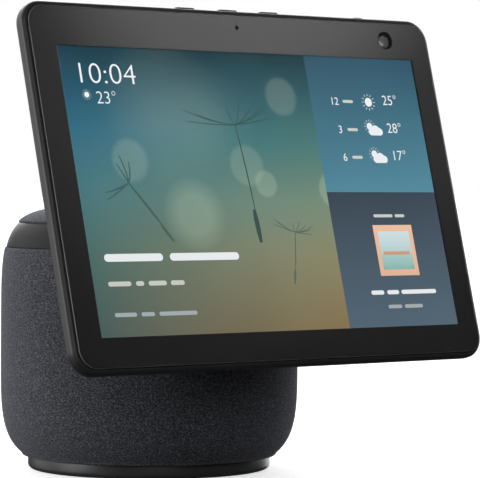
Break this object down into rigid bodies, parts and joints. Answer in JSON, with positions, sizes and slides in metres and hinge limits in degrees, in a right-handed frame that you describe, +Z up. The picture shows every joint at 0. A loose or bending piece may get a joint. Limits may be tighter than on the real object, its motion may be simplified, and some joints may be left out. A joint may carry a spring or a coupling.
{
  "type": "smart display",
  "caption": "Rotating smart display: a touch screen on a tilting hinge in front of a fabric-covered cylindrical speaker that turns on a fixed round foot.",
  "frame": {"origin": "centre of the round foot, on the surface it stands on, on the axis that the speaker body turns about", "axes": "+Z up; the screen faces -Y; +X is to the right of someone looking at the screen"},
  "size_m": [0.251, 0.1877, 0.2275],
  "materials": {
    "foot_rubber": "matt",
    "foot_plastic": "fine matt texture",
    "ballast_iron": "as cast, painted",
    "alloy": "die cast, satin",
    "gear_brass": "machined",
    "steel": "satin",
    "circuit_board": "solder mask",
    "wire": "extruded insulation",
    "jack_black": "moulded",
    "bushing": "acetal",
    "copper_core": "varnished copper",
    "inner_plastic": "moulded, glass filled",
    "grille_plastic": "moulded",
    "charcoal_fabric": "tight heathered knit",
    "band_plastic": "fine matt texture",
    "speaker_frame": "moulded",
    "magnet": "sintered ferrite with steel plates",
    "cone": "treated pulp",
    "surround": "butyl",
    "housing_plastic": "fine matt texture",
    "cover_glass": "polished, black printed border",
    "lcd": "polarised film",
    "light_guide": "white diffuser film",
    "copper_foil": "bare foil",
    "lens": "coated lens in a black barrel",
    "flex": "polyimide",
    "button_plastic": "fine matt texture"
  },
  "bodies": {
    "base": {"foot_pad": "foot_rubber", "foot_ring": "foot_plastic", "ballast": "ballast_iron", "spindle": "alloy", "sun_gear": "gear_brass", "lower_race": "steel", "power_board": "circuit_board", "power_lead": "wire", "dc_jack": "jack_black", "base_screws": "steel"},
    "ball_cage": {"ball_cage": "bushing", "bearing_balls": "steel"},
    "speaker_body": {"turntable": "steel", "upper_race": "steel", "center_bushing": "bushing", "motor_bracket": "alloy", "motor_can": "steel", "motor_stator": "copper_core", "yaw_cable": "wire", "speaker_enclosure": "inner_plastic", "enclosure_lid": "inner_plastic", "grille_shell": "grille_plastic", "fabric_sleeve": "charcoal_fabric", "shoulder_band": "band_plastic", "top_cap": "inner_plastic", "top_fabric": "charcoal_fabric", "woofer_basket": "speaker_frame", "woofer_magnet": "magnet", "woofer_surround": "surround", "tweeter_left": "speaker_frame", "tweeter_right": "speaker_frame", "amp_board": "circuit_board", "hinge_arm": "alloy", "neck_cover": "band_plastic", "friction_washers": "steel", "body_screws": "steel"},
    "motor_rotor": {"motor_rotor": "steel", "pinion": "gear_brass"},
    "woofer_cone": {"woofer_cone": "cone"},
    "display": {"rear_housing": "housing_plastic", "cover_glass": "cover_glass", "lcd_panel": "lcd", "backlight": "light_guide", "display_frame": "alloy", "display_bracket": "steel", "hinge_pin": "steel", "hinge_nut": "steel", "hinge_caps": "housing_plastic", "main_board": "circuit_board", "heat_spreader": "copper_foil", "camera_module": "lens", "light_sensor": "lens", "control_board": "circuit_board", "display_cable": "flex", "display_screws": "steel"},
    "volume_up_button": {"volume_up_button": "button_plastic"},
    "volume_down_button": {"volume_down_button": "button_plastic"},
    "mic_button": {"mic_button": "button_plastic"},
    "shutter_slider": {"shutter_slider": "button_plastic"}
  },
  "joints": [
    {"name": "body_yaw", "type": "hinge", "parent": "base", "child": "speaker_body", "pos_m": [0, 0, 0.009], "axis": [0, 0, 1], "range_deg": [-175, 175], "deforming": ["yaw_cable"]},
    {"name": "ball_cage_spin", "type": "hinge", "parent": "base", "child": "ball_cage", "pos_m": [0, 0, 0.009], "axis": [0, 0, 1], "range_deg": [-88, 88]},
    {"name": "motor_spin", "type": "hinge", "parent": "speaker_body", "child": "motor_rotor", "pos_m": [0, 0.0288, 0.02], "axis": [0, 0, 1], "range_deg": [-876, 876]},
    {"name": "screen_tilt", "type": "hinge", "parent": "speaker_body", "child": "display", "pos_m": [0, -0.0794, 0.1149], "axis": [-1, 0, 0], "range_deg": [-15.3, 24.7]},
    {"name": "woofer_travel", "type": "slide", "parent": "speaker_body", "child": "woofer_cone", "axis": [0, -1, 0], "range_m": [-0.003, 0.003], "stiffness_N_per_m": 1200, "deforming": ["woofer_surround"]},
    {"name": "volume_up_press", "type": "slide", "parent": "display", "child": "volume_up_button", "axis": [0, -0.2639, -0.9646], "range_m": [0, 0.0005], "stiffness_N_per_m": 1500, "springref_m": -0.0003},
    {"name": "volume_down_press", "type": "slide", "parent": "display", "child": "volume_down_button", "axis": [0, -0.2639, -0.9646], "range_m": [0, 0.0005], "stiffness_N_per_m": 1500, "springref_m": -0.0003},
    {"name": "mic_press", "type": "slide", "parent": "display", "child": "mic_button", "axis": [0, -0.2639, -0.9646], "range_m": [0, 0.0005], "stiffness_N_per_m": 1500, "springref_m": -0.0003},
    {"name": "shutter_slide", "type": "slide", "parent": "display", "child": "shutter_slider", "axis": [1, 0, 0], "range_m": [0, 0.011]}
  ],
  "couplings": [
    {"joint": "ball_cage_spin", "follows": "body_yaw", "ratio": 0.5},
    {"joint": "motor_spin", "follows": "body_yaw", "ratio": 5}
  ]
}
